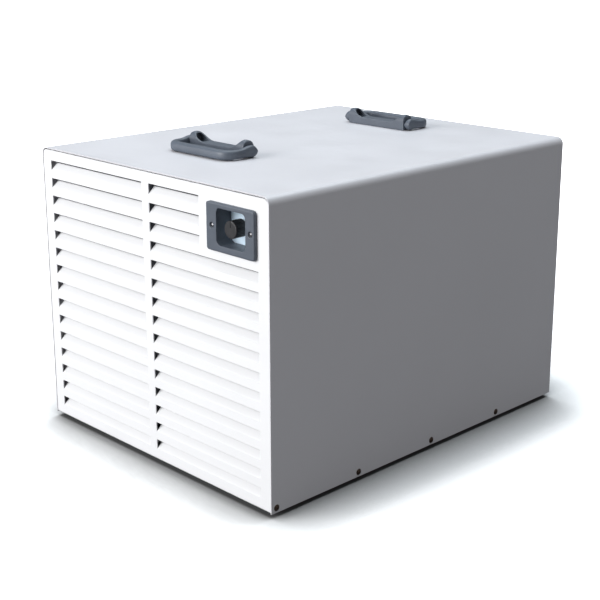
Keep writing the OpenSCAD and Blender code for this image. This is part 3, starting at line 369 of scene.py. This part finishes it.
def make_bail(name, node, joint, body, toward):
    bm = bmesh.new()
    half = bail_half_plan()
    rings = [bail_ring(bm, a, b, 1, toward) for a, b in half]
    rings += [bail_ring(bm, a, b, -1, toward) for a, b in reversed(half[:-1])]
    for one, two in zip(rings, rings[1:]):
        for k in range(RING):
            n = (k + 1) % RING
            bm.faces.new((one[k], one[n], two[n], two[k]))
    for end in (rings[0], rings[-1]):
        hub = bm.verts.new(sum((v.co for v in end), Vector()) / RING)
        for k in range(RING):
            bm.faces.new((end[k], end[(k + 1) % RING], hub))
    bmesh.ops.recalc_face_normals(bm, faces=bm.faces)
    mesh = bpy.data.meshes.new(name)
    bm.to_mesh(mesh)
    bm.free()
    mesh.shade_smooth()
    mesh.materials.append(MATERIALS[slot_of[node]])
    obj = bpy.data.objects.new(name, mesh)
    obj.location = joint_place[joint]
    bpy.context.scene.collection.objects.link(obj)
    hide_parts(node)
    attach(obj, body)


make_bail("front_grip", "front_handle_bail", "front_handle_fold", "front_bail", -1)
make_bail("rear_grip", "rear_handle_bail", "rear_handle_fold", "rear_bail", 1)


# ---------------------------------------------------------------- stage, light and camera

case_low, case_high = (Vector(corner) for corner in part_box("outer_cover"))
middle = (case_low + case_high) / 2


def plane(name, size, z):
    mesh = bpy.data.meshes.new(name)
    bm = bmesh.new()
    bmesh.ops.create_grid(bm, x_segments=2, y_segments=2, size=size)
    bm.to_mesh(mesh)
    bm.free()
    obj = bpy.data.objects.new(name, mesh)
    obj.location.z = z
    bpy.context.scene.collection.objects.link(obj)
    return obj


FLOOR_HALF = 12.0
FLOOR_WHITE = (0.98, 0.98, 0.98, 1)
FLOOR_DIM = (0.16, 0.16, 0.165, 1)
# painted shadow: the floor's colour darkens towards the object, standing in for the contact shade
# under the case
FLOOR_PAINTED_SHADOW = (0.10, 0.10, 0.102, 1)
CONTACT_REACH = 0.11
CONTACT_BAND = (0.38, 0.94)       # openness of the floor over which the painted contact shadow runs from darkest to plain white
OPEN_BAND = (0.82, 0.995)         # openness over which the floor starts to glow, painted light that whitens the open floor
OPEN_GLOW = 0.4
SWEEP_BAND = (0.45, 1.5)          # metres from the middle over which the floor turns into backdrop
SWEEP_GLOW = 1.1
AO_SAMPLES = 12


def floor_material():
    mat = bpy.data.materials.new("floor")
    mat.use_nodes = True
    tree = mat.node_tree
    tree.nodes.clear()
    new, link = tree.nodes.new, tree.links.new
    out = new("ShaderNodeOutputMaterial")
    path = new("ShaderNodeLightPath")
    dim = new("ShaderNodeBsdfDiffuse")
    dim.inputs["Color"].default_value = FLOOR_DIM
    pale = new("ShaderNodeBsdfDiffuse")
    near = new("ShaderNodeAmbientOcclusion")
    near.samples = AO_SAMPLES
    near.inputs["Distance"].default_value = CONTACT_REACH
    # painted contact shadow: the floor colour turns dark where the object closes it in
    shade_amount = remap(tree, near.outputs["AO"], *CONTACT_BAND, 0.0, 1.0)
    link(mix_color(tree, shade_amount, FLOOR_PAINTED_SHADOW, FLOOR_WHITE), pale.inputs["Color"])
    # the sweep: far from the object the floor runs out into the white backdrop
    coord = new("ShaderNodeTexCoord")
    length = new("ShaderNodeVectorMath")
    length.operation = "LENGTH"
    link(coord.outputs["Object"], length.inputs[0])
    glow = new("ShaderNodeEmission")
    glow.inputs["Color"].default_value = (1, 1, 1, 1)
    far = remap(tree, length.outputs["Value"], *SWEEP_BAND, 0.0, SWEEP_GLOW)
    # painted light: the open floor glows so that its shade clips to white
    painted_open_light = remap(tree, near.outputs["AO"], *OPEN_BAND, 0.0, OPEN_GLOW)
    both = new("ShaderNodeMath")
    both.operation = "ADD"
    link(far, both.inputs[0])
    link(painted_open_light, both.inputs[1])
    link(both.outputs[0], glow.inputs["Strength"])
    add = new("ShaderNodeAddShader")
    link(pale.outputs[0], add.inputs[0])
    link(glow.outputs[0], add.inputs[1])
    mix = new("ShaderNodeMixShader")
    link(path.outputs["Is Camera Ray"], mix.inputs[0])
    link(dim.outputs[0], mix.inputs[1])
    link(add.outputs[0], mix.inputs[2])
    link(mix.outputs[0], out.inputs[0])
    return mat


floor = plane("floor", FLOOR_HALF, cad_low[2])
floor.data.materials.append(floor_material())

SOFT_LIGHT = ((1.0, 0.985, 0.98, 1), 0.22)
WHITE_BACKDROP = ((1, 1, 1, 1), 1.15)


def background(tree, color, strength):
    node = tree.nodes.new("ShaderNodeBackground")
    node.inputs["Color"].default_value = color
    node.inputs["Strength"].default_value = strength
    return node


def studio_world():
    """Soft light on the object, and plain white where the camera sees past it."""
    world = bpy.data.worlds.new("studio")
    world.use_nodes = True
    tree = world.node_tree
    tree.nodes.clear()
    out = tree.nodes.new("ShaderNodeOutputWorld")
    mix = tree.nodes.new("ShaderNodeMixShader")
    path = tree.nodes.new("ShaderNodeLightPath")
    tree.links.new(path.outputs["Is Camera Ray"], mix.inputs[0])
    tree.links.new(background(tree, *SOFT_LIGHT).outputs[0], mix.inputs[1])
    tree.links.new(background(tree, *WHITE_BACKDROP).outputs[0], mix.inputs[2])
    tree.links.new(mix.outputs[0], out.inputs[0])
    return world


bpy.context.scene.world = studio_world()


def area(name, offset, size, power, color=(1, 1, 1)):
    light = bpy.data.lights.new(name, "AREA")
    light.shape = "RECTANGLE"
    light.size, light.size_y = size
    light.energy = power
    light.color = color
    obj = bpy.data.objects.new(name, light)
    obj.location = middle + Vector(offset)
    obj.rotation_euler = (middle - obj.location).to_track_quat("-Z", "Y").to_euler()
    bpy.context.scene.collection.objects.link(obj)


area("key_front", (-0.9, -3.0, 1.0), (2.6, 2.2), 143)
area("overhead", (-0.3, 0.6, 3.0), (3.4, 3.4), 123, (0.85, 0.94, 1.0))
area("fill_right", (3.0, 0.2, 0.9), (2.0, 1.6), 5)

# Azimuth 0 looks along +Y from in front, and it grows towards the right side
CAM_AZ = math.radians(45.56)
CAM_EL = math.radians(15.45)
CAM_DIST = 1.636
CAM_LENS = 73.7
CAM_SHIFT = (-0.0117, -0.0617)
CAM_AIM_X = -0.0019
CAM_AIM_ABOVE_CASE_FOOT = 0.1966
CAM_SENSOR = 36.0
CAM_FAR = 60
back = Vector((math.sin(CAM_AZ) * math.cos(CAM_EL), -math.cos(CAM_AZ) * math.cos(CAM_EL),
               math.sin(CAM_EL)))
target = Vector((CAM_AIM_X, middle.y, case_low.z + CAM_AIM_ABOVE_CASE_FOOT))
cam = bpy.data.cameras.new("camera")
cam.lens = CAM_LENS
cam.sensor_width = CAM_SENSOR
cam.shift_x, cam.shift_y = CAM_SHIFT
cam.clip_end = CAM_FAR
cam_obj = bpy.data.objects.new("camera", cam)
cam_obj.location = target + back * CAM_DIST
cam_obj.rotation_euler = (-back).to_track_quat("-Z", "Y").to_euler()
bpy.context.scene.collection.objects.link(cam_obj)
bpy.context.scene.camera = cam_obj
bpy.context.scene.view_settings.view_transform = "Standard"
